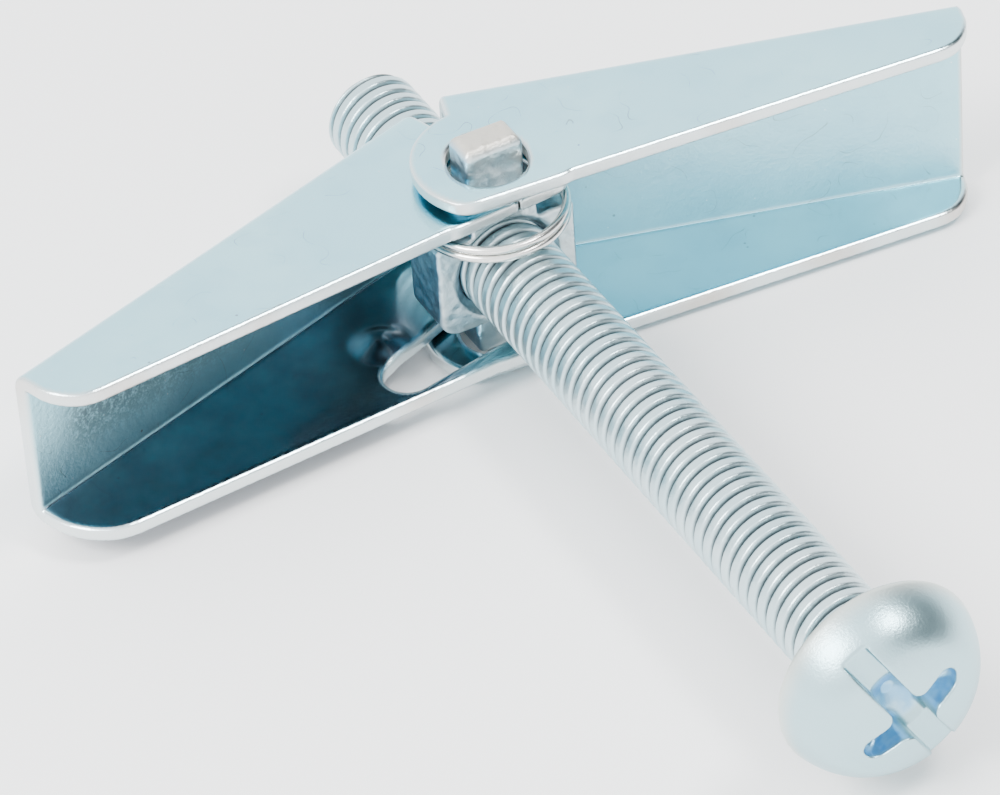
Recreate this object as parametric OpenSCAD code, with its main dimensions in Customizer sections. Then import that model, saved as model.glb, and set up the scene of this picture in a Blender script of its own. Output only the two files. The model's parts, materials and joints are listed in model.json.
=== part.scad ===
// Spring toggle bolt: a pan head machine screw carries a trunnion nut, and two
// folded-sheet wings turn on the nut's tangs and are sprung open.
// Millimetres. The origin is the centre of the head's bearing face, +Y runs
// along the screw to its tip, and +Z is the axis that the wings turn on.

/* [Screw] */
// Thread outside diameter
thread_d = 6; // [5.8:0.05:6.1]
// Length under the head
screw_l = 60; // [57:0.5:80]
// Head diameter
head_d = 12.5; // [10:0.1:13]
// Head height
head_h = 4.6; // [4:0.1:5]
// Width of the straight driver slot
slot_w = 1.6; // [1:0.1:2]
// Depth of the straight driver slot
slot_deep = 1.9; // [1.2:0.1:2.2]
// Size of the cross recess across its arms
cross_span = 6.6; // [5:0.1:7]
// Turn of the driver recess about the screw's axis, in degrees
drive_turn = 31.6; // [0:0.1:45]

/* [Nut] */
// Distance from the head's bearing face to the wings' turning axis
pivot_y = 43.5; // [42:0.5:48]
// Width of the nut between the wings' legs
nut_w = 9.2; // [8.6:0.1:9.4]
// Wall of the nut under its bore
nut_wall = 0.65; // [0.5:0.05:0.7]
// Thickness of the nut along the screw
nut_t = 3.8; // [3.4:0.1:4]
// Width of each tang
tang_w = 3.8; // [3.2:0.1:3.9]
// Thickness of each tang
tang_t = 2.4; // [2:0.1:2.5]
// How far the upper tang stands above the outer wing
tang_over = 1.5; // [0.8:0.1:2]
// Play between a tang's corners and the holes it passes through
tang_play = 0.12; // [0.1:0.01:0.2]

/* [Wings] */
// Thickness of the sheet
sheet = 1; // [0.8:0.05:1.1]
// Length of a wing from its turning axis to its tip
wing_l = 30.3; // [26:0.1:32]
// Gap between the screw and the inner wing's flange under it
screw_room = 1.3; // [0.7:0.05:1.5]
// Gap between the two upper flanges
nest_above = 0.5; // [0.3:0.05:0.8]
// Gap between the two lower flanges
nest_below = 0.3; // [0.3:0.05:0.6]
// Distance from the turning axis to the back of the outer wing
outer_reach = 7.1; // [6.9:0.05:7.2]
// Distance from the turning axis to the back of the inner wing
inner_reach = 8.4; // [8.2:0.05:8.5]
// Lean of the open outer wing towards the head, in degrees
outer_lean = 16.2; // [16:0.1:20]
// Lean of the open inner wing towards the head, in degrees
inner_lean = 18; // [17.5:0.1:22]

/* [Spring] */
// Wire diameter
wire_d = 0.52; // [0.4:0.02:0.54]
// Outside radius of the coil
coil_r = 4.6; // [4.45:0.05:4.7]
// Length of each leg along its wing
leg_l = 7; // [4:0.5:12]

/* [Hidden] */
$fn = 48;
eps = 0.02;

// The thread is a plain rod here, with a sliding gap in the nut
thread_gap = 0.04;
shank_r = thread_d / 2 - thread_gap;
tip_chamfer = 0.9;
head_r = head_d / 2;
head_edge_r = 2.6;                    // round between the head's side and its top
head_dome_r = 10;                     // gentle dome of the head's top

// Gap left between the screw and a wing's web, beside it and at the open stop
stop_gap = 0.3;
notch_half = thread_d / 2 + stop_gap;
ear_r = 5;
ear_end = 4.5;                        // from the turning axis to the end of an ear
back_corner = 1.45;                   // how far the folds run on past the turning axis
bend_r = sheet + 0.15;                // outside radius of the folds
tip_r = 2.6;                          // round at the tip of each flange

// The spring is stacked on the screw, the inner wing on the spring, and the
// outer wing round the inner one, so both wings sit a little high
coil_gap = 0.074;                     // under the coil and over it
coil_rise = 1.6 * wire_d;             // between the first turn's centre and the last one's
inner_top = thread_d / 2 + wire_d + coil_rise + 2 * coil_gap + sheet;
inner_h = inner_top + thread_d / 2 + screw_room + sheet;
outer_top = inner_top + nest_above + sheet;
outer_h = outer_top - inner_top + inner_h + nest_below + sheet;

nut_shoulder = thread_d / 2 - 0.05;
boss_w = 4.4;
boss_top = inner_top - sheet - 0.3;
nut_bottom = thread_d / 2 + nut_wall;
tang_top = outer_top + tang_over;
tang_bottom = outer_h - outer_top - 0.05; // level with the outer wing's underside
tang_hole_r = norm([tang_w, tang_t]) / 2 + tang_play;

coil_c = [-0.2, -0.8];                // coil's centre, from the turning axis
coil_mean = coil_r - wire_d / 2;
coil_low = thread_d / 2 + coil_gap + wire_d / 2;
coil_high = coil_low + coil_rise;
leg_start = 4.2;                      // where a leg meets its wing
leg_gap = 0.12;

// ---------- small helpers ----------

// Places children drawn with the wing's length along +X and the head side
// along +Y; side is 1 for the outer wing and -1 for the inner one
module on_wing(side, lean) {
    translate([0, pivot_y, 0])
        mirror([side < 0 ? 1 : 0, 0, 0])
            rotate([0, 0, -lean])
                mirror([0, 1, 0])
                    children();
}

// Half-plane below the line v = at + slope * u, as a large flat polygon
module below_line(at, slope) {
    far = 60;
    polygon([
        [-far, at - slope * far], [far, at + slope * far],
        [far, -far], [-far, -far]
    ]);
}

// Outline of one flange: the ear round the tang, the tapering flange and the
// square back corner. near_at and taper give the straight edge on the head side
module flange_outline(reach, near_at, taper) {
    tip_depth = near_at - taper * wing_l;
    round_v = tip_depth - tip_r * (1 - taper);
    intersection() {
        union() {
            translate([ear_r - ear_end, 0]) circle(ear_r);
            translate([-back_corner, -reach]) square([back_corner + ear_r, reach]);
            translate([0, -reach]) square([wing_l - tip_r, reach + near_at]);
            translate([0, -reach]) square([wing_l, reach + round_v]);
            translate([wing_l - tip_r, round_v]) circle(tip_r);
        }
        below_line(near_at, -taper);
    }
}

// Folded section of a wing, drawn as depth and height
module fold_section(reach, h) {
    difference() {
        round_back(reach, h, bend_r);
        round_back(reach - sheet, h - 2 * sheet, bend_r - sheet);
    }
}

// Block that is open-ended on the head side and has two rounded corners at its back
module round_back(reach, h, r) {
    open_end = 20;
    translate([-reach + r, -h / 2]) square([reach + open_end - r, h]);
    translate([-reach, -h / 2 + r]) square([r + eps, h - 2 * r]);
    for (s = [-1, 1]) translate([-reach + r, s * (h / 2 - r)]) circle(r);
}

// A slot with two different round ends, from r1 at the origin to r2 at x = l
module tapered_slot(l, r1, r2) {
    lean = asin((r1 - r2) / l);
    circle(r1);
    translate([l, 0]) circle(r2);
    polygon([
        for (s = [1, -1], e = s > 0 ? [0, 1] : [1, 0])
            [e * l + (e == 0 ? r1 : r2) * sin(lean), s * (e == 0 ? r1 : r2) * cos(lean)]
    ]);
}

// ---------- screw ----------

// Half profile of the shank, its chamfered tip and the pan head
module screw_profile() {
    square([shank_r, screw_l - tip_chamfer]);
    polygon([
        [0, screw_l - tip_chamfer - eps], [shank_r, screw_l - tip_chamfer - eps],
        [shank_r, screw_l - tip_chamfer], [shank_r - tip_chamfer, screw_l], [0, screw_l]
    ]);
    intersection() {
        union() {
            translate([0, -head_h + head_edge_r])
                square([head_r, head_h - head_edge_r + eps]);
            translate([0, -head_h]) square([head_r - head_edge_r, head_h]);
            translate([head_r - head_edge_r, -head_h + head_edge_r]) circle(head_edge_r);
        }
        translate([0, -head_h]) square([head_r, head_h]);
        translate([0, -head_h + head_dome_r]) circle(head_dome_r, $fn = 120);
    }
}

// Two crossed arms that narrow towards the bottom of the recess
module cross_recess() {
    deep = 3;
    arm_w = 1.3;
    half = cross_span / 2;
    for (a = [0, 90])
        rotate([0, a, 0])
            translate([0, -head_h, -arm_w / 2])
                linear_extrude(arm_w)
                    polygon([
                        [-half, -1], [half, -1], [half - 0.3, 0.9], [1.2, deep - 0.6],
                        [0, deep], [-1.2, deep - 0.6], [-half + 0.3, 0.9]
                    ]);
}

module screw() {
    color("silver")
        difference() {
            rotate([-90, 0, 0]) rotate_extrude() screw_profile();
            rotate([0, -drive_turn, 0]) {
                translate([-slot_w / 2, -head_h - 1, -head_r - 1])
                    cube([slot_w, slot_deep + 1, head_d + 2]);
                cross_recess();
            }
        }
}

// ---------- nut ----------

// Front view of the nut's body: two shoulders, a boss and a rounded underside
module nut_outline() {
    corner = 1.3;
    translate([-nut_w / 2, -nut_bottom + corner])
        square([nut_w, nut_bottom - corner + nut_shoulder]);
    translate([-nut_w / 2 + corner, -nut_bottom])
        square([nut_w - 2 * corner, corner + eps]);
    for (s = [-1, 1])
        translate([s * (nut_w / 2 - corner), -nut_bottom + corner]) circle(corner);
    translate([-boss_w / 2, 0]) square([boss_w, boss_top]);
}

// One tang, standing up from the screw's axis, with a bevelled end
module tang(l) {
    bevel = 0.5;
    intersection() {
        translate([-tang_w / 2, -tang_t / 2, 0]) cube([tang_w, tang_t, l]);
        rotate([90, 0, 0]) translate([0, 0, -tang_t / 2])
            linear_extrude(tang_t)
                polygon([
                    [-tang_w, 0], [tang_w, 0], [tang_w / 2, l - bevel],
                    [tang_w / 2 - bevel, l], [-tang_w / 2 + bevel, l],
                    [-tang_w / 2, l - bevel]
                ]);
        rotate([90, 0, 90]) translate([0, 0, -tang_w])
            linear_extrude(2 * tang_w)
                polygon([
                    [-tang_t, 0], [tang_t, 0], [tang_t / 2, l - bevel],
                    [tang_t / 2 - bevel, l], [-tang_t / 2 + bevel, l],
                    [-tang_t / 2, l - bevel]
                ]);
    }
}

module trunnion_nut() {
    lead = 0.5;
    color("gainsboro")
        translate([0, pivot_y, 0])
            difference() {
                union() {
                    rotate([90, 0, 0]) translate([0, 0, -nut_t / 2])
                        linear_extrude(nut_t) nut_outline();
                    tang(tang_top);
                    mirror([0, 0, 1]) tang(tang_bottom);
                }
                rotate([90, 0, 0]) cylinder(h = nut_t + 2, r = thread_d / 2, center = true);
                // lead-in at each end of the bore
                for (s = [-1, 1])
                    translate([0, s * (nut_t / 2 + eps), 0]) rotate([s * 90, 0, 0])
                        cylinder(h = lead, r1 = thread_d / 2 + lead, r2 = thread_d / 2);
            }
}

// ---------- wings ----------

// A folded channel with its section, its flange outlines and the notch that
// lets its web end beside the screw
module wing(reach, h, top, web_end, near_up, taper_up, near_down, taper_down) {
    middle = top - h / 2;
    difference() {
        intersection() {
            translate([0, 0, middle]) rotate([90, 0, 90])
                translate([0, 0, -12]) linear_extrude(12 + wing_l + 1)
                    fold_section(reach, h);
            union() {
                translate([0, 0, middle]) linear_extrude(h)
                    flange_outline(reach, near_up, taper_up);
                translate([0, 0, middle - h]) linear_extrude(h + eps)
                    flange_outline(reach, near_down, taper_down);
            }
        }
        // the web stops beside the screw
        translate([-12, -reach - 1, -notch_half])
            cube([12 + web_end, sheet + 2, 2 * notch_half]);
    }
}

// Upper and lower holes that the tangs pass through
module tang_holes(from, to) {
    stretch = 0.45;
    translate([0, 0, from]) linear_extrude(to - from)
        for (s = [0, 1]) translate([0, s * stretch]) circle(tang_hole_r);
    translate([-tang_hole_r, 0, from]) cube([2 * tang_hole_r, stretch, to - from]);
}

module wing_outer() {
    inner_face = outer_reach - sheet;
    web_end = (shank_r + stop_gap - inner_face * sin(outer_lean)) / cos(outer_lean);
    color("lightsteelblue")
        on_wing(1, outer_lean)
            difference() {
                wing(outer_reach, outer_h, outer_top, web_end, 3.84, 0.217, 3.55, 0.217);
                tang_holes(-10, 10);
            }
}

module wing_inner() {
    inner_face = inner_reach - sheet;
    web_end = (shank_r + stop_gap - inner_face * sin(inner_lean)) / cos(inner_lean);
    floor_z = inner_top - inner_h + sheet;
    dimple_r = 3.6;
    dimple_rise = 0.55;
    color("lightsteelblue")
        on_wing(-1, inner_lean)
            difference() {
                union() {
                    wing(inner_reach, inner_h, inner_top, web_end, 3.1, 0.224, 4.7, 0.25);
                    // pressed swelling beside the assembly slot
                    intersection() {
                        translate([7, -2.9, floor_z + dimple_rise - dimple_r]) sphere(dimple_r);
                        translate([0, -8, floor_z - eps]) cube([12, 8, 2]);
                    }
                }
                tang_holes(-10, 10);
                // slot that lets the lower tang in from the side of the ear
                translate([0, 0.35, floor_z - sheet - 1])
                    linear_extrude(4) tapered_slot(7.9, tang_hole_r, 1.5);
                translate([7, -2.9, floor_z + dimple_rise - dimple_r - sheet])
                    sphere(dimple_r);
            }
}

// ---------- spring ----------

// A point given in a wing's length and head-side directions, from the axis
function wing_point(side, lean, u, v) =
    [side * (u * cos(lean) - v * sin(lean)), -u * sin(lean) - v * cos(lean)];

// Where the straight leg through p leaves the coil; side picks the tangent
function leave_angle(p, side) =
    let (d = p - coil_c)
    atan2(d[1], d[0]) - side * acos(coil_mean / norm(d));

right_bend = wing_point(1, outer_lean, leg_start, -(outer_reach - sheet - leg_gap - wire_d / 2));
right_end = wing_point(1, outer_lean, leg_start + leg_l,
                       -(outer_reach - sheet - leg_gap - wire_d / 2));
left_bend = wing_point(-1, inner_lean, leg_start, -(inner_reach - sheet - leg_gap - wire_d / 2));
left_end = wing_point(-1, inner_lean, leg_start + leg_l,
                      -(inner_reach - sheet - leg_gap - wire_d / 2));
right_leave = leave_angle(right_bend, 1);
left_leave = leave_angle(left_bend, -1);

// The coil runs clockwise from the right leg, one turn and a half, to the left
coil_sweep = 720 - (left_leave - right_leave);
coil_steps = 54;
coil_path = [
    for (i = [0 : coil_steps])
        let (t = i / coil_steps, a = right_leave - coil_sweep * t)
        [coil_c[0] + coil_mean * cos(a), coil_c[1] + coil_mean * sin(a),
         coil_high + (coil_low - coil_high) * t]
];
spring_path = concat(
    [[right_end[0], right_end[1], coil_high], [right_bend[0], right_bend[1], coil_high]],
    coil_path,
    [[left_bend[0], left_bend[1], coil_low], [left_end[0], left_end[1], coil_low]]
);

// Round wire along a path that stays close to level
module wire(path, r, sides) {
    last = len(path) - 1;
    function unit(v) = v / norm(v);
    function heading(i) =
        i == 0 ? unit(path[1] - path[0])
        : i == last ? unit(path[last] - path[last - 1])
        : unit(unit(path[i + 1] - path[i]) + unit(path[i] - path[i - 1]));
    rings = [
        for (i = [0 : last])
            let (side_dir = unit(cross(heading(i), [0, 0, 1])),
                 up_dir = cross(side_dir, heading(i)))
            for (k = [0 : sides - 1])
                path[i] + r * (cos(360 * k / sides) * side_dir + sin(360 * k / sides) * up_dir)
    ];
    skin = [
        for (i = [0 : last - 1], k = [0 : sides - 1])
            let (n = (k + 1) % sides)
            [i * sides + k, (i + 1) * sides + k, (i + 1) * sides + n, i * sides + n]
    ];
    start_cap = [[for (k = [0 : sides - 1]) k]];
    end_cap = [[for (k = [0 : sides - 1]) last * sides + sides - 1 - k]];
    polyhedron(rings, concat(start_cap, skin, end_cap), 4);
}

module torsion_spring() {
    color("whitesmoke")
        translate([0, pivot_y, 0])
            wire(spring_path, wire_d / 2, 12);
}

screw();
trunnion_nut();
wing_outer();
wing_inner();
torsion_spring();
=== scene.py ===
"""Looks of a spring toggle bolt: plated screw, trunnion nut, two folded wings and a coil spring."""
import json
import math
from itertools import product

import bmesh
import bpy
import numpy as np
from mathutils import Matrix, Vector


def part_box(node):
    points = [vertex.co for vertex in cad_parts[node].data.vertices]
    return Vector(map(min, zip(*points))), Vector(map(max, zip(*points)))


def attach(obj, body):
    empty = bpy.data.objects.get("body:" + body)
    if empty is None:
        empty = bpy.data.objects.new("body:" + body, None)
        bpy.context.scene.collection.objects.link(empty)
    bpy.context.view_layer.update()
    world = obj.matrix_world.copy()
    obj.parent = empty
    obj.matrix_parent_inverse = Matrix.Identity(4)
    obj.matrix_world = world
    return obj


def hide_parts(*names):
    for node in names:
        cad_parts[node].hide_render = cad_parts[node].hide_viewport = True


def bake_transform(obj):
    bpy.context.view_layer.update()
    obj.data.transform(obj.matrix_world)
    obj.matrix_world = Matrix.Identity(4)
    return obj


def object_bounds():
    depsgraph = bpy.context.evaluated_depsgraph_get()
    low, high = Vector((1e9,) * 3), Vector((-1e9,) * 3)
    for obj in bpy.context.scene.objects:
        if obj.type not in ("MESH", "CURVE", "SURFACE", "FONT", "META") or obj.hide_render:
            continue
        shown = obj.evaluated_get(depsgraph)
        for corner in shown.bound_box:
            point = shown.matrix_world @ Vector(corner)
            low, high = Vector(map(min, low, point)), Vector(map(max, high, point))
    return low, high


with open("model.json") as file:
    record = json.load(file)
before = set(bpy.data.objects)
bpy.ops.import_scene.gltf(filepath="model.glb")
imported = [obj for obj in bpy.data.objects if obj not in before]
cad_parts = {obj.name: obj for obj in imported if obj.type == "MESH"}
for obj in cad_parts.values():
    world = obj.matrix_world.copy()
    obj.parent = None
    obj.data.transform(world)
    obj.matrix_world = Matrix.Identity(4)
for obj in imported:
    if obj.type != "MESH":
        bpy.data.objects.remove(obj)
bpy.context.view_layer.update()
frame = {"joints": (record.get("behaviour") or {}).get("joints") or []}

MM = 0.001
PIVOT_Y = frame["joints"][0]["pos_m"][1] / MM


def node_box(node):
    """Lowest and highest corners of a CAD node, in millimetres."""
    low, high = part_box(node)
    return low / MM, high / MM


# ---------------------------------------------------------------- camera

def place_camera():
    """Looks down on the bolt from its head end, a little to the left, as if from arm's length."""
    azimuth, elevation, lean = (math.radians(a) for a in (-25.6, 39.6, -4.3))
    distance = 379
    focal_length, sensor_width = 231.6, 36
    # where the middle of the nut sits in the view, right and up of the middle
    aside, above = -0.4, 8.7
    back = Vector((math.sin(azimuth) * math.cos(elevation),
                   -math.cos(azimuth) * math.cos(elevation), math.sin(elevation)))
    level = Vector((math.cos(azimuth), math.sin(azimuth), 0))
    upright = back.cross(level)
    right = math.cos(lean) * level + math.sin(lean) * upright
    up = math.cos(lean) * upright - math.sin(lean) * level
    eye = Vector((0, PIVOT_Y, 0)) + distance * back - aside * right - above * up
    data = bpy.data.cameras.new("camera")
    data.sensor_width = sensor_width
    data.lens = focal_length
    data.clip_start = 0.01
    camera = bpy.data.objects.new("camera", data)
    bpy.context.scene.collection.objects.link(camera)
    turn = Matrix((right, up, back)).transposed().to_4x4()
    camera.matrix_world = Matrix.Translation(eye * MM) @ turn
    bpy.context.scene.camera = camera


place_camera()


# ---------------------------------------------------------------- node trees

class Number:
    """A number in a node tree. Arithmetic on it adds Math nodes to that tree."""

    def __init__(self, graph, socket):
        self.graph = graph
        self.socket = socket

    def _maths(self, operation, *values):
        """One Math node in the number's own tree."""
        return self.graph.maths(operation, *values)

    def __add__(self, other):
        return self._maths("ADD", self, other)

    __radd__ = __add__

    def __mul__(self, other):
        return self._maths("MULTIPLY", self, other)

    __rmul__ = __mul__

    def __sub__(self, other):
        return self._maths("SUBTRACT", self, other)

    def __rsub__(self, other):
        return self._maths("SUBTRACT", other, self)

    def __truediv__(self, other):
        return self._maths("DIVIDE", self, other)

    def __abs__(self):
        return self._maths("ABSOLUTE", self)


class Graph:
    """A node tree. Every node is added by its type, its settings and what its sockets hold."""

    def __init__(self, tree):
        self.tree = tree

    def node(self, kind, settings=None, inputs=None):
        """Adds a node and returns it."""
        made = self.tree.nodes.new(kind)
        for key, value in (settings or {}).items():
            setattr(made, key, value)
        for key, value in (inputs or {}).items():
            self.feed(made.inputs[key], value)
        return made

    def feed(self, socket, value):
        """Links a value to a socket, or writes it there if it is a plain one."""
        if isinstance(value, Number):
            value = value.socket
        if isinstance(value, bpy.types.NodeSocket):
            self.tree.links.new(value, socket)
        else:
            socket.default_value = value

    def maths(self, operation, *values):
        """One Math node."""
        made = self.node("ShaderNodeMath", {"operation": operation}, dict(enumerate(values)))
        return Number(self, made.outputs[0])

    def least(self, first, *others):
        """The smallest of some values."""
        for other in others:
            first = self.maths("MINIMUM", first, other)
        return first

    def ease(self, value, start, end):
        """0 up to start, 1 from end on, and smooth between them; start may be above end."""
        made = self.node("ShaderNodeMapRange", {"interpolation_type": "SMOOTHSTEP"},
                         {0: value, 1: start, 2: end, 3: 0.0, 4: 1.0})
        return Number(self, made.outputs[0])


class Recipe(Graph):
    """A Geometry Nodes tree with named inputs, which ends in a finished mesh."""

    def __init__(self, name, inputs):
        super().__init__(bpy.data.node_groups.new(name, "GeometryNodeTree"))
        self.names = {}
        for title, kind in inputs.items():
            made = self.tree.interface.new_socket(title, in_out="INPUT",
                                                  socket_type="NodeSocket" + kind)
            self.names[title] = made.identifier
        self.tree.interface.new_socket("Geometry", in_out="OUTPUT",
                                       socket_type="NodeSocketGeometry")
        self.given = self.node("NodeGroupInput").outputs

    def end(self, geometry):
        """Shades the geometry smooth, makes it real and gives it the finish."""
        smooth = self.node("GeometryNodeSetShadeSmooth", None, {"Geometry": geometry})
        real = self.node("GeometryNodeRealizeInstances", None, {"Geometry": smooth.outputs[0]})
        finished = self.node("GeometryNodeSetMaterial", None,
                             {"Geometry": real.outputs[0], "Material": self.given["Finish"]})
        self.node("NodeGroupOutput", None, {0: finished.outputs[0]})

    def grow(self, name, data, values):
        """Runs the tree on data and keeps its result as a plain closed mesh."""
        seed = bpy.data.objects.new(name + "_seed", data)
        bpy.context.scene.collection.objects.link(seed)
        modifier = seed.modifiers.new("grow", "NODES")
        modifier.node_group = self.tree
        for title, value in values.items():
            modifier[self.names[title]] = value
        seed.update_tag()
        ready = seed.evaluated_get(bpy.context.evaluated_depsgraph_get())
        mesh = bpy.data.meshes.new_from_object(ready)
        bpy.data.objects.remove(seed)
        mesh.name = name
        bm = bmesh.new()
        bm.from_mesh(mesh)
        bmesh.ops.holes_fill(bm, edges=[e for e in bm.edges if e.is_boundary])
        bmesh.ops.recalc_face_normals(bm, faces=bm.faces)
        bm.to_mesh(mesh)
        bm.free()
        return add_object(name, mesh)


def add_object(name, mesh):
    """Puts a mesh into the scene as an object at the origin."""
    made = bpy.data.objects.new(name, mesh)
    bpy.context.scene.collection.objects.link(made)
    return made


# ---------------------------------------------------------------- solids drawn from distance fields

def round_and(a, b, r):
    """Inside both, with the edge between them rounded to radius r."""
    over = np.hypot(np.maximum(a + r, 0), np.maximum(b + r, 0))
    return np.minimum(np.maximum(a, b), -r) + over


def round_or(a, b, r):
    """Inside either, with the corner between them filled to radius r."""
    return -round_and(-a, -b, r)


def box2(x, y, low, high, r=0.0):
    """Distance to a flat rectangle whose corners are rounded to radius r."""
    dx = np.abs(x - (low[0] + high[0]) / 2) - (high[0] - low[0]) / 2 + r
    dy = np.abs(y - (low[1] + high[1]) / 2) - (high[1] - low[1]) / 2 + r
    return np.hypot(np.maximum(dx, 0), np.maximum(dy, 0)) + np.minimum(np.maximum(dx, dy), 0) - r


def settle(points, field, rounds=3):
    """Moves points along the field's slope onto its zero surface."""
    reach = 0.01
    least_slope, longest_move = 0.3, 0.15
    for _ in range(rounds):
        value = field(*points.T)
        slope = np.stack([field(*(points + d).T) - field(*(points - d).T)
                          for d in np.eye(3) * reach], 1) / (2 * reach)
        size = np.maximum((slope ** 2).sum(1), least_slope)
        move = np.clip(value / size, -longest_move, longest_move)
        points = points - move[:, None] * slope
    return points


def net(field, axes):
    """Points and four-sided faces of the surface where the field is zero, one point a cell."""
    f = field(*np.meshgrid(*axes, indexing="ij"))
    inside = f < 0
    offsets = list(product((0, 1), repeat=3))
    cells = [n - 1 for n in f.shape]
    corners = [f[tuple(slice(o, o + n) for o, n in zip(offset, cells))] for offset in offsets]
    held = sum((c < 0).astype(int) for c in corners)
    active = (held > 0) & (held < 8)
    cell = np.argwhere(active)
    number = np.full(active.shape, -1)
    number[active] = np.arange(len(cell))
    values = np.stack([c[active] for c in corners], 1)
    total = np.zeros((len(cell), 3))
    hits = np.zeros(len(cell))
    for a, b in product(range(8), repeat=2):
        step = np.subtract(offsets[b], offsets[a])
        if step.sum() != 1 or step.min() < 0:
            continue
        va, vb = values[:, a], values[:, b]
        crossed = (va < 0) != (vb < 0)
        share = np.where(crossed, va / np.where(crossed, va - vb, 1), 0)
        total += crossed[:, None] * (np.array(offsets[a]) + share[:, None] * step)
        hits += crossed
    low = np.stack([axes[k][cell[:, k]] for k in range(3)], 1)
    high = np.stack([axes[k][cell[:, k] + 1] for k in range(3)], 1)
    points = low + total / hits[:, None] * (high - low)
    faces = []
    for axis in range(3):
        side = np.moveaxis(inside, axis, 0)
        around = np.moveaxis(number, axis, 0)
        before, after = side[:-1, 1:-1, 1:-1], side[1:, 1:-1, 1:-1]
        i, j, k = np.argwhere(before != after).T
        ring = np.stack([around[i, j, k], around[i, j + 1, k],
                         around[i, j + 1, k + 1], around[i, j, k + 1]], 1)
        turned = before[i, j, k] == (axis == 1)
        ring[turned] = ring[turned][:, ::-1]
        faces.append(ring)
    return points, np.concatenate(faces)


def relax(points, faces, field, rounds=2):
    """Evens out the net: each point moves towards its neighbours, then back to the surface."""
    ends = np.concatenate([faces[:, [k, (k + 1) % 4]] for k in range(4)])
    ends = np.concatenate([ends, ends[:, ::-1]])
    count = np.bincount(ends[:, 0], minlength=len(points))[:, None]
    for _ in range(rounds):
        near = np.stack([np.bincount(ends[:, 0], points[ends[:, 1], k], len(points))
                         for k in range(3)], 1) / count
        points = settle(0.5 * points + 0.5 * near, field, 2)
    return points


def solid(name, field, axes, place=None, marks=None):
    """Builds a closed smooth mesh from a distance field in millimetres.

    place turns local points into the frame's, and marks maps attribute names to fields."""
    points, faces = net(field, axes)
    points = settle(points, field)
    points = relax(points, faces, field)
    placed = points if place is None else place(points)
    if place is not None and np.linalg.det(place(np.eye(3)) - place(np.zeros((3, 3)))) < 0:
        faces = faces[:, ::-1]
    mesh = bpy.data.meshes.new(name)
    mesh.from_pydata((placed * MM).tolist(), [], faces.tolist())
    mesh.polygons.foreach_set("use_smooth", np.ones(len(faces), bool))
    for mark, value in (marks or {}).items():
        attribute = mesh.attributes.new(mark, "FLOAT", "POINT")
        attribute.data.foreach_set("value", value(*points.T).astype(np.float32))
    return add_object(name, mesh)


def steps(*stops):
    """Grid lines through stops given as position, spacing, position, spacing ... position."""
    lines = [np.array([stops[0]], float)]
    for low, spacing, high in zip(stops[0::2], stops[1::2], stops[2::2]):
        count = max(1, round((high - low) / spacing))
        lines.append(np.linspace(low, high, count + 1)[1:])
    return np.concatenate(lines)


# ---------------------------------------------------------------- screw

SCREW_LOW, SCREW_HIGH = node_box("screw")
# down to the recess's rim, since the recess takes the crown of the dome away
HEAD_H = -SCREW_LOW.y
HEAD_R = SCREW_HIGH.x
SHANK_L = SCREW_HIGH.y
HEAD_DOME_R = 10
HEAD_TOP_R = 2.3
HEAD_BACK_R = 0.5
DRIVE_TURN = math.radians(31.6)
SLOT_W, SLOT_DEEP = 1.6, 1.9
CROSS_ARM_R, CROSS_ARM_L, CROSS_DEEP = 0.8, 2.5, 3.1
PITCH = 1.0


def head_field(x, y, z):
    """Pan head with a straight slot across it and a cross recess that narrows as it deepens."""
    radius = np.hypot(x, z)
    dome = np.sqrt(radius ** 2 + (y + HEAD_H - HEAD_DOME_R) ** 2) - HEAD_DOME_R
    head = round_and(round_and(radius - HEAD_R, dome, HEAD_TOP_R), y, HEAD_BACK_R)
    across = x * math.cos(DRIVE_TURN) + z * math.sin(DRIVE_TURN)
    along = z * math.cos(DRIVE_TURN) - x * math.sin(DRIVE_TURN)
    deep = y + HEAD_H
    slot = round_and(np.abs(across) - SLOT_W / 2, deep - SLOT_DEEP, 0.12)
    arms = [np.hypot(np.maximum(np.abs(a) - CROSS_ARM_L, 0), b) - CROSS_ARM_R
            for a, b in ((across, along), (along, across))]
    rise, flat_r = 0.62, 0.4
    floor = deep - (CROSS_DEEP - rise * np.maximum(radius - flat_r, 0))
    # the slanting floor's distance is scaled to its slope
    cross = round_and(round_or(arms[0], arms[1], 0.7), 0.85 * floor, 0.3)
    return round_and(head, -np.minimum(slot, cross), 0.13)


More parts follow.
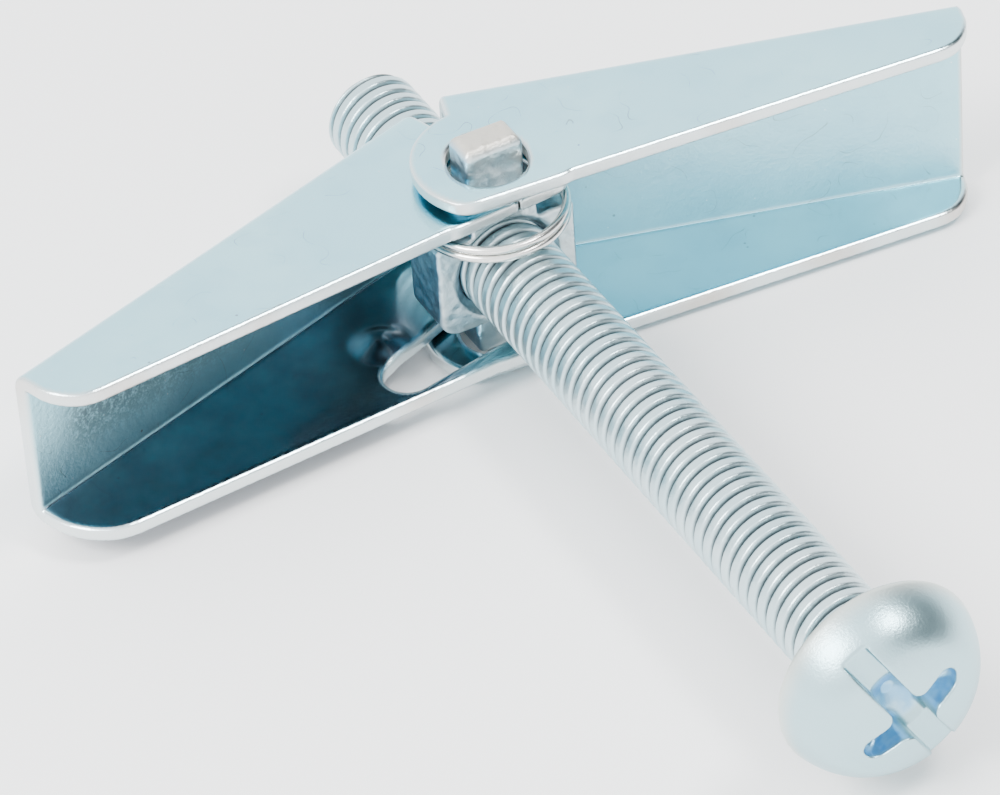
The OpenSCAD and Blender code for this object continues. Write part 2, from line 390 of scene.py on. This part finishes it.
def thread_recipe():
    """A rolled thread: a flat grid wound so that its rows run along the helix."""
    g = Recipe("rolled_thread", {
        "Start": "Float", "Length": "Float", "Pitch": "Float", "Root Radius": "Float",
        "Crest Radius": "Float", "Tip Radius": "Float", "Sides": "Int", "Rows a Turn": "Int",
        "Finish": "Material"})
    start, length, pitch, root, crest, tip, sides, per_turn = (
        Number(g, g.given[k]) for k in range(8))
    spare_turns = 2.5
    rows = g.maths("ROUND", (length / pitch + spare_turns) * per_turn)
    grid = g.node("GeometryNodeMeshGrid", None,
                  {"Size X": 1, "Size Y": 1, "Vertices X": sides + 1, "Vertices Y": rows})
    flat = g.node("ShaderNodeSeparateXYZ", None,
                  {0: g.node("GeometryNodeInputPosition").outputs[0]})
    around = Number(g, flat.outputs["X"]) + 0.5
    row = g.maths("ROUND", (Number(g, flat.outputs["Y"]) + 0.5) * (rows - 1))
    turns = row / per_turn
    axial = pitch * (turns + around - 1) + start
    y = g.least(g.maths("MAXIMUM", axial, start), length)
    off_crest = abs(g.maths("FRACT", turns) - 0.5)
    # broad crests with a slight crown, and narrow roots
    height = g.ease(off_crest, 0.5, 0.28) - 0.25 * off_crest * off_crest
    head_slope, tip_slope = 3, 0.9
    radius = g.least(root + (crest - root) * height, root + (y - start) * head_slope,
                     tip + (length - y) * tip_slope)
    angle = around * math.tau
    wound = g.node("ShaderNodeCombineXYZ", None,
                   {0: radius * g.maths("SINE", angle), 1: y, 2: radius * g.maths("COSINE", angle)})
    shaped = g.node("GeometryNodeSetPosition", None,
                    {"Geometry": grid.outputs["Mesh"], "Position": wound.outputs[0]})
    merged = g.node("GeometryNodeMergeByDistance", None,
                    {"Geometry": shaped.outputs[0], "Distance": 2e-6})
    g.end(merged.outputs[0])
    return g


def wire_recipe():
    """Round wire laid along a curve."""
    g = Recipe("round_wire", {"Path": "Geometry", "Wire Radius": "Float", "Sides": "Int",
                              "Finish": "Material"})
    ring = g.node("GeometryNodeCurvePrimitiveCircle", None,
                  {"Resolution": g.given["Sides"], "Radius": g.given["Wire Radius"]})
    swept = g.node("GeometryNodeCurveToMesh", None,
                   {"Curve": g.given["Path"], "Profile Curve": ring.outputs[0], "Fill Caps": True})
    g.end(swept.outputs[0])
    return g


def make_screw(finish):
    """The head and the threaded shank, joined as one piece."""
    # the grid is a little larger than the head, and finer over the recess
    across = steps(-6.55, 0.12, -3.6, 0.1, 3.6, 0.12, 6.55)
    head = solid("screw_head", head_field, (across, steps(-4.9, 0.1, 0.3), across))
    shank = thread_recipe().grow("screw_shank", bpy.data.meshes.new("thread_seed"), {
        "Start": -0.1 * MM, "Length": SHANK_L * MM, "Pitch": PITCH * MM,
        "Root Radius": 2.48 * MM, "Crest Radius": 2.97 * MM, "Tip Radius": 2.05 * MM,
        "Sides": 56, "Rows a Turn": 12, "Finish": finish})
    joined = bmesh.new()
    joined.from_mesh(head.data)
    joined.from_mesh(shank.data)
    mesh = bpy.data.meshes.new("threaded_screw")
    joined.to_mesh(mesh)
    joined.free()
    mesh.materials.append(finish)
    bpy.data.objects.remove(head)
    bpy.data.objects.remove(shank)
    return add_object("threaded_screw", mesh)


# ---------------------------------------------------------------- nut

NUT_LOW, NUT_HIGH = node_box("trunnion_nut")
NUT_HALF_W = NUT_HIGH.x
NUT_HALF_T = NUT_HIGH.y - PIVOT_Y
NUT_BOTTOM, NUT_SHOULDER, NUT_CORNER_R = -3.65, 2.95, 1.3
BOSS_HALF_W, BOSS_TOP = 2.2, 4.2
TANG_HALF_W, TANG_HALF_T, TANG_BEVEL = 1.9, 1.2, 0.42
BORE_R, BORE_LEAD_IN = 3.0, 0.5


def nut_field(x, y, z):
    """Block with rounded lower corners and a boss, a tang up and a tang down, and the bore."""
    past_shoulder = 6
    lower = box2(x, z, (-NUT_HALF_W, NUT_BOTTOM), (NUT_HALF_W, past_shoulder), NUT_CORNER_R)
    block = round_and(lower, z - NUT_SHOULDER, 0.3)
    boss = box2(x, z, (-BOSS_HALF_W, -1), (BOSS_HALF_W, BOSS_TOP), 0.3)
    body = round_and(np.minimum(block, boss), np.abs(y) - NUT_HALF_T, 0.28)
    stem = box2(x, y, (-TANG_HALF_W, -TANG_HALF_T), (TANG_HALF_W, TANG_HALF_T), 0.38)
    middle = (NUT_HIGH.z + NUT_LOW.z) / 2
    ends = np.abs(z - middle) - (NUT_HIGH.z - NUT_LOW.z) / 2
    bevel = (stem + ends + TANG_BEVEL) / math.sqrt(2)
    tangs = round_and(round_and(stem, ends, 0.15), bevel, 0.12)
    whole = round_or(body, tangs, 0.18)
    bore = np.hypot(x, z) - BORE_R - np.maximum(np.abs(y) - NUT_HALF_T + BORE_LEAD_IN, 0)
    return round_and(whole, -bore, 0.1)


# ---------------------------------------------------------------- wings

SHEET = 1.0
BEND_R = 1.15
EDGE_R = 0.27
WING_L = 30.3
EAR_R, EAR_U = 5, 0.5
HEEL_U = -1.45
TIP_R, SLOTTED_TIP_R = 2.6, 3.4
TANG_HOLE_R, TANG_HOLE_EXTRA = 2.37, 0.45
SLOT_L, SLOT_V, SLOT_END_R = 7.9, 0.35, 1.5
SWELL_U, SWELL_V, SWELL_R, SWELL_H = 7, -2.9, 2.1, 0.6
NOTCH_HALF, NOTCH_STOP = 3.3, 3.26
GRID_MARGIN = 0.35


class Wing:
    """One folded wing, in its own directions: u along it from the turning axis, v towards the
    screw's head, and z as in the frame."""

    def __init__(self, node, side, lean, reach, near_up, near_down, slotted):
        self.node = node
        self.side = side
        self.lean = math.radians(lean)
        self.reach = reach
        self.near_up = near_up
        self.near_down = near_down
        self.slotted = slotted
        low, high = node_box(node)
        self.bottom, self.top = low.z, high.z
        self.middle = (low.z + high.z) / 2
        self.half = (high.z - low.z) / 2
        inner_face = reach - SHEET
        self.web_end = (NOTCH_STOP - inner_face * math.sin(self.lean)) / math.cos(self.lean)

    def place(self, p):
        """Local points to the frame's."""
        c, s = math.cos(self.lean), math.sin(self.lean)
        return np.stack([self.side * (p[:, 0] * c - p[:, 1] * s),
                         PIVOT_Y - p[:, 0] * s - p[:, 1] * c, p[:, 2]], 1)

    def flange(self, u, v, near, tip_r):
        """Distance to one flange's outline: near gives its straight edge's start and slope."""
        at, slope = near
        front = (v - at + slope * u) / math.hypot(1, slope)
        arm = np.maximum(round_and(front, u - WING_L, tip_r), -u)
        ear = np.hypot(u - EAR_U, v) - EAR_R
        past_web = -20
        heel = box2(u, v, (HEEL_U, past_web), (EAR_R, 0))
        return round_and(np.minimum(np.minimum(arm, ear), heel), front, 0.6)

    def outline(self, u, v, z):
        """Distance to the flange outlines and the holes in them."""
        upper = self.flange(u, v, self.near_up, TIP_R)
        lower = self.flange(u, v, self.near_down, SLOTTED_TIP_R if self.slotted else TIP_R)
        flat = np.where(z > self.middle, upper, lower)
        hole = np.hypot(u, v - np.clip(v, 0, TANG_HOLE_EXTRA)) - TANG_HOLE_R
        if self.slotted:
            share = np.clip(u / SLOT_L, 0, 1)
            slot = (np.hypot(u - SLOT_L * share, v - SLOT_V) - TANG_HOLE_R
                    + share * (TANG_HOLE_R - SLOT_END_R))
            hole = np.where(z < self.middle, np.minimum(hole, slot), hole)
        return np.maximum(flat, -hole)

    def swelling(self, u, v):
        """Height of the pressed swelling beside the slot."""
        share = np.clip(np.hypot(u - SWELL_U, v - SWELL_V) / SWELL_R, 0, 1)
        return SWELL_H * (1 - share ** 2) ** 2

    def skin(self, v, z):
        """Distance to the folded section of the sheet."""
        height = np.abs(z - self.middle)
        faces = []
        for inset in (0, SHEET):
            r = BEND_R - inset
            a = height - (self.half - inset) + r
            b = -v - (self.reach - inset) + r
            faces.append(np.hypot(np.maximum(a, 0), np.maximum(b, 0))
                         + np.minimum(np.maximum(a, b), 0) - r)
        return np.maximum(faces[0], -faces[1])

    def field(self, u, v, z):
        """Distance to the whole wing: the folded sheet, its outlines, and the notch in its web."""
        lifted = z
        if self.slotted:
            lifted = z - np.where(z < self.middle, self.swelling(u, v), 0)
        folded = round_and(self.skin(v, lifted), self.outline(u, v, z), EDGE_R)
        past_sheet = 1
        notch = round_and(round_and(np.abs(z) - NOTCH_HALF, u - self.web_end, 0.8),
                          v + self.reach - SHEET - past_sheet, 0.1)
        return round_and(folded, -notch, EDGE_R)

    def rim(self, u, v, z):
        """1 on the cut edges of the sheet and 0 on its faces."""
        return np.clip(1 + self.outline(u, v, z) / 0.3, 0, 1)

    def make(self, name, finish):
        """The wing as an object, from a grid that is finer at the ear, the tip and the folds."""
        low = self.bottom - GRID_MARGIN
        axes = (steps(-4.85, 0.19, 10.6, 0.4, 27.4, 0.19, WING_L + GRID_MARGIN),
                steps(-self.reach - GRID_MARGIN, 0.16, -self.reach + 2.4, 0.2, 5.4),
                steps(low, 0.15, low + 2.9, 0.42, self.top - 2.6, 0.15, self.top + GRID_MARGIN))
        made = solid(name, self.field, axes, self.place, {"rim": self.rim})
        made.data.materials.append(finish)
        return made


OUTER = Wing("wing_outer", 1, 16.2, 7.1, (3.84, 0.217), (3.55, 0.217), False)
INNER = Wing("wing_inner", -1, 18.0, 8.4, (3.1, 0.224), (4.7, 0.25), True)


# ---------------------------------------------------------------- spring

WIRE_R = 0.26
COIL_R = 4.34
COIL_C = (-0.2, -0.8)
SPRING_LOW, SPRING_HIGH = node_box("torsion_spring")
LEG_START, LEG_L = 4.2, 7.0
LEG_GAP, LEG_BEND = 0.12, 0.8


def spring_parts():
    """Centre lines of the coil and of the two legs, in the frame's millimetres."""
    bends, ends = [], []
    for wing in (OUTER, INNER):
        v = -(wing.reach - SHEET - LEG_GAP - WIRE_R)
        u = np.array([[LEG_START, v, 0], [LEG_START + LEG_L, v, 0]])
        bend, end = wing.place(u)
        bends.append(bend[:2])
        ends.append(end[:2])
    centre = np.array([COIL_C[0], PIVOT_Y + COIL_C[1]])
    leaves = []
    for bend, side in zip(bends, (1, -1)):
        d = bend - centre
        leaves.append(math.atan2(d[1], d[0]) - side * math.acos(COIL_R / np.hypot(*d)))
    high, low = SPRING_HIGH.z - WIRE_R, SPRING_LOW.z + WIRE_R
    sweep = 2 * math.tau - (leaves[1] - leaves[0])
    share = np.linspace(0, 1, 100)
    angle = leaves[0] - sweep * share
    coil = np.stack([centre[0] + COIL_R * np.cos(angle), centre[1] + COIL_R * np.sin(angle),
                     high + (low - high) * share], 1)
    legs = []
    for k, z in ((0, high), (1, low)):
        start = coil[0 if k == 0 else -1]
        bend, end = np.array([*bends[k], z]), np.array([*ends[k], z])
        into = bend + LEG_BEND * (start - bend) / np.linalg.norm(start - bend)
        out = bend + LEG_BEND * (end - bend) / np.linalg.norm(end - bend)
        t = np.linspace(0, 1, 7)[:, None]
        turn = (1 - t) ** 2 * into + 2 * t * (1 - t) * bend + t ** 2 * out
        straight = start + (into - start) * np.linspace(0, 1, 10)[:-1, None]
        rest = out + (end - out) * np.linspace(0, 1, 8)[1:, None]
        legs.append(np.concatenate([straight, turn, rest]))
    return coil, legs


def wire_piece(name, path, finish, recipe):
    """A piece of the spring: wire along a path."""
    curve = bpy.data.curves.new(name, "CURVE")
    curve.dimensions = "3D"
    spline = curve.splines.new("POLY")
    spline.points.add(len(path) - 1)
    for point, p in zip(spline.points, path):
        point.co = (*(p * MM), 1)
    return recipe.grow(name, curve, {"Wire Radius": WIRE_R * MM, "Sides": 14, "Finish": finish})


# ---------------------------------------------------------------- finishes

class Finish(Graph):
    """A metal finish: its material, its tree and the patterns that it is made of."""

    def __init__(self, name):
        self.material = bpy.data.materials.new(name)
        self.material.use_nodes = True
        super().__init__(self.material.node_tree)
        self.tree.nodes.clear()
        self.metal = self.node("ShaderNodeBsdfPrincipled")
        self.node("ShaderNodeOutputMaterial", None, {"Surface": self.metal.outputs[0]})
        self.place = self.node("ShaderNodeTexCoord").outputs["Object"]
        self.metal.inputs["Metallic"].default_value = 1.0

    def noise(self, per_mm, detail=2.0, stretch=None):
        """Clouds from 0 to 1, so many to a millimetre."""
        where = self.place
        if stretch:
            mapped = self.node("ShaderNodeMapping", None, {"Vector": where, "Scale": stretch})
            where = mapped.outputs[0]
        made = self.node("ShaderNodeTexNoise", None,
                         {"Vector": where, "Scale": per_mm / MM, "Detail": detail})
        return Number(self, made.outputs["Fac"])

    def cells(self, per_mm, feature="F1"):
        """Distance to the nearest of some scattered points, so many to a millimetre."""
        made = self.node("ShaderNodeTexVoronoi", {"feature": feature},
                         {"Vector": self.place, "Scale": per_mm / MM})
        return Number(self, made.outputs["Distance"])

    def mix(self, share, a, b):
        """A color that goes from a to b as share goes from 0 to 1."""
        made = self.node("ShaderNodeMix", {"data_type": "RGBA"}, {0: share})
        for socket, color in ((made.inputs[6], a), (made.inputs[7], b)):
            self.feed(socket, color if isinstance(color, bpy.types.NodeSocket) else (*color, 1))
        return made.outputs[2]

    def attribute(self, name):
        """A value that is stored at the mesh's points."""
        made = self.node("ShaderNodeAttribute", {"attribute_name": name})
        return Number(self, made.outputs["Fac"])

    def axis(self, name):
        """One of the place's coordinates in millimetres."""
        flat = self.node("ShaderNodeSeparateXYZ", None, {0: self.place})
        return Number(self, flat.outputs[name]) / MM

    def facing(self, name):
        """How far the surface looks along one of the frame's directions, from -1 to 1."""
        normal = self.node("ShaderNodeTexCoord").outputs["Normal"]
        return Number(self, self.node("ShaderNodeSeparateXYZ", None, {0: normal}).outputs[name])

    def upright(self):
        """1 where the surface is vertical and 0 where it is level."""
        return self.ease(abs(self.facing("Z")), 0.85, 0.4)

    def set(self, color, roughness, height, depth_mm):
        """Gives the metal its color and roughness, and bumps of a height and depth."""
        self.feed(self.metal.inputs["Base Color"], color)
        self.feed(self.metal.inputs["Roughness"], roughness)
        bump = self.node("ShaderNodeBump", None,
                         {"Strength": 1.0, "Distance": depth_mm * MM, "Height": height})
        self.feed(self.metal.inputs["Normal"], bump.outputs[0])
        return self.material


def plated_sheet():
    """Bluish zinc on sheet: even on the flanges, grainy on the webs, pale on the cut edges, with
    painted dark reflections on the left wing's lower flange and on the inner face of its web.
    """
    f = Finish("plated_sheet")
    broad = f.noise(0.12, 3)
    cloud = f.noise(0.5, 3)
    grain = f.noise(7, 3)
    fine = f.noise(2.6, 3)
    upright = f.upright()
    rim = f.attribute("rim")
    color = f.mix(f.ease(broad, 0.35, 0.7), (0.34, 0.64, 0.73), (0.385, 0.685, 0.765))
    color = f.mix(f.ease(cloud, 0.45, 0.7) * 0.35, color, (0.30, 0.57, 0.66))
    hairs = f.ease(abs(f.noise(0.33, 1.0) - 0.5), 0.004, 0.001) * f.ease(cloud, 0.5, 0.6)
    flecks = f.ease(f.cells(0.5), 0.055, 0.03)
    color = f.mix(f.maths("MAXIMUM", hairs * 0.5, flecks * 0.6), color, (0.17, 0.20, 0.21))
    sparkle = f.ease(f.cells(0.9), 0.05, 0.02)
    color = f.mix(sparkle * (0.3 + 0.7 * upright), color, (0.88, 0.92, 0.93))
    across = f.axis("X")
    left = f.ease(across, -2.0, -6.0)
    height = f.axis("Z")
    # painted dark reflection: the level faces of the left wing's lower flange, away from the cut
    # edges, are darkened as if they mirrored a dim surround
    painted_flange_dark_reflection = left * f.ease(height, -3.0, -3.6) * (1 - rim) * (1 - upright)
    color = f.mix(painted_flange_dark_reflection * (0.75 + 0.2 * cloud), color, (0.11, 0.10, 0.13))
    # painted dark reflection: the inner face of the left web is darkened in speckles, more towards
    # its tip and its top, fading out just before its end
    painted_web_dark_reflection = f.ease(across, -4.0, -24.0) * f.ease(across, -29.6, -27.0) * f.ease(height, -3.6, 0.5)
    speckle = f.ease(0.5 * grain + 0.5 * fine, 0.34, 0.56)
    inside = f.ease(f.facing("Y"), 0.2, -0.2)
    color = f.mix(upright * inside * painted_web_dark_reflection * speckle * 0.8, color, (0.10, 0.13, 0.14))
    color = f.mix(rim * 0.85, color, (0.76, 0.77, 0.76))
    warm = f.ease(f.noise(0.11, 1.0), 0.52, 0.66)
    color = f.mix(rim * warm * 0.6, color, (0.58, 0.47, 0.40))
    rough = 0.13 + 0.06 * broad + 0.2 * upright + 0.06 * grain
    bumps = fine * (0.12 + 0.88 * upright) + 0.5 * grain * (0.2 + 0.8 * upright)
    return f.set(color, rough, bumps, 0.03)


def plated_nut():
    """Rough zinc on the formed nut, bluer on its sides, and brownish on the tang's sheared end."""
    f = Finish("plated_nut")
    dents = f.cells(1.5, "SMOOTH_F1")
    grain = f.noise(5, 3)
    raw = f.ease(f.axis("Z"), 8.05, 8.4)
    sides = f.ease(abs(f.facing("X")), 0.5, 0.85)
    color = f.mix(f.ease(f.noise(0.5, 2), 0.35, 0.65), (0.43, 0.56, 0.61), (0.60, 0.67, 0.68))
    color = f.mix(sides * 0.7, color, (0.34, 0.50, 0.62))
    color = f.mix(raw * 0.8, color, (0.62, 0.57, 0.49))
    rough = 0.24 + 0.15 * grain + 0.15 * raw
    return f.set(color, rough, dents + 0.35 * grain, 0.1)


def plated_screw():
    """Bright zinc, with painted shade in the thread's roots, and blue in the cross recess."""
    f = Finish("plated_screw")
    x, y, z = f.axis("X"), f.axis("Y"), f.axis("Z")
    out = f.maths("SQRT", x * x + z * z)
    shank = f.ease(y, 0.0, 0.15)
    root = f.ease(out, 2.9, 2.68) * shank
    along = z * math.cos(DRIVE_TURN) - x * math.sin(DRIVE_TURN)
    # depth under the domed face
    deep = y + HEAD_H - out * out / (2 * HEAD_DOME_R)
    arms = f.ease(abs(along), 1.0, 0.85) * f.ease(deep, 0.1, 0.4) * f.ease(out, 3.6, 3.35)
    floor = f.ease(deep, 1.95, 2.2) * f.ease(out, 3.2, 2.9)
    recess = f.maths("MAXIMUM", arms, floor) * (1 - shank)
    side = f.ease(out, 4.6, 5.8) * f.ease(deep, 1.2, 2.6) * (1 - shank)
    broad = f.noise(0.25, 2)
    grain = f.noise(7, 3)
    color = f.mix(f.ease(broad, 0.35, 0.7), (0.46, 0.61, 0.65), (0.55, 0.67, 0.70))
    color = f.mix(0.8 * (1 - shank), color, (0.38, 0.58, 0.63))
    color = f.mix(side * 0.75, color, (0.68, 0.67, 0.60))
    pool = f.mix(f.ease(f.noise(0.9, 2), 0.35, 0.65), (0.20, 0.47, 0.72), (0.42, 0.68, 0.84))
    color = f.mix(recess * 0.9, color, pool)
    # painted shade: the thread's roots are darkened
    color = f.mix(root * 0.9, color, (0.10, 0.12, 0.13))
    rough = 0.26 + 0.1 * broad + 0.06 * grain + 0.2 * root
    return f.set(color, rough, 0.2 * grain + f.noise(1.3, 2) * (0.2 + 0.8 * shank), 0.06)


def spring_wire():
    """Bright drawn wire with faint lines."""
    f = Finish("spring_wire")
    lines = f.noise(4, 2, (1, 1, 6))
    color = f.mix(f.ease(lines, 0.3, 0.7), (0.72, 0.70, 0.66), (0.82, 0.82, 0.80))
    return f.set(color, 0.16 + 0.12 * lines, lines, 0.004)


# ---------------------------------------------------------------- studio

def studio():
    """A plain pale floor, a soft sky with one dim side, and two soft lamps."""
    scene = bpy.context.scene
    low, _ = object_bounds()
    floor_z = low[2] - 0.0004
    floor_tone = 0.93
    mesh = bpy.data.meshes.new("floor")
    size = 3.0
    mesh.from_pydata([(-size, -size, floor_z), (size, -size, floor_z),
                      (size, size, floor_z), (-size, size, floor_z)], [], [(0, 1, 2, 3)])
    floor = bpy.data.objects.new("floor", mesh)
    scene.collection.objects.link(floor)
    paint = bpy.data.materials.new("pale_floor")
    paint.use_nodes = True
    shader = paint.node_tree.nodes["Principled BSDF"]
    shader.inputs["Base Color"].default_value = (floor_tone, floor_tone, floor_tone, 1)
    shader.inputs["Roughness"].default_value = 0.9
    shader.inputs["Specular IOR Level"].default_value = 0.0
    mesh.materials.append(paint)

    world = bpy.data.worlds.new("soft_sky")
    world.use_nodes = True
    scene.world = world
    g = Graph(world.node_tree)
    g.tree.nodes.clear()
    ray = g.node("ShaderNodeTexCoord").outputs["Generated"]
    dim_azimuth, dim_elevation = math.radians(68), math.radians(38)
    dim_side = (math.sin(dim_azimuth) * math.cos(dim_elevation),
                -math.cos(dim_azimuth) * math.cos(dim_elevation), math.sin(dim_elevation))
    near = g.node("ShaderNodeVectorMath", {"operation": "DOT_PRODUCT"}, {0: ray, 1: dim_side})
    dim_core, dim_end = math.radians(22), math.radians(52)
    open_sky = g.ease(Number(g, near.outputs["Value"]), math.cos(dim_core), math.cos(dim_end))
    glow = g.node("ShaderNodeMix", {"data_type": "RGBA"},
                  {0: open_sky, 6: (0.12, 0.14, 0.15, 1), 7: (2.75, 2.8, 2.85, 1)})
    sky = g.node("ShaderNodeBackground", None, {"Color": glow.outputs[2], "Strength": 1.0})
    g.node("ShaderNodeOutputWorld", None, {"Surface": sky.outputs[0]})

    for name, spot, size, watts in (("left_lamp", (-0.35, -0.05, 0.35), 0.22, 3.5),
                                    ("front_lamp", (0.17, -0.13, 0.46), 0.12, 2)):
        data = bpy.data.lights.new(name, "AREA")
        data.size = size
        data.energy = watts
        lamp = bpy.data.objects.new(name, data)
        scene.collection.objects.link(lamp)
        aim = Vector((0, 0.03, 0)) - Vector(spot)
        turn = aim.to_track_quat("-Z", "Y").to_matrix().to_4x4()
        lamp.matrix_world = Matrix.Translation(spot) @ turn
        lamp.visible_camera = False


# ---------------------------------------------------------------- the bolt

sheet_finish = plated_sheet()
wire_finish = spring_wire()
nut_finish = plated_nut()

screw = make_screw(plated_screw())
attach(screw, "bolt")
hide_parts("screw")

nut = solid("formed_nut", lambda x, y, z: nut_field(x, y - PIVOT_Y, z),
            (steps(-4.9, 0.11, 4.9), steps(PIVOT_Y - 2.2, 0.11, PIVOT_Y + 2.2),
             steps(NUT_LOW.z - 0.3, 0.11, NUT_HIGH.z + 0.3)))
nut.data.materials.append(nut_finish)
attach(nut, "nut")
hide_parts("trunnion_nut")

for wing, name, body in ((OUTER, "folded_wing_outer", "outer"),
                         (INNER, "folded_wing_inner", "inner")):
    piece = wing.make(name, sheet_finish)
    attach(piece, body)
    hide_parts(wing.node)

coil_path, leg_paths = spring_parts()
wire = wire_recipe()
coil = wire_piece("spring_coil", coil_path, wire_finish, wire)
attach(coil, "nut")
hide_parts("torsion_spring")
for path, name, body in ((leg_paths[0], "spring_leg_outer", "outer"),
                         (leg_paths[1], "spring_leg_inner", "inner")):
    leg = wire_piece(name, path, wire_finish, wire)
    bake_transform(leg)
    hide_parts("torsion_spring")

studio()
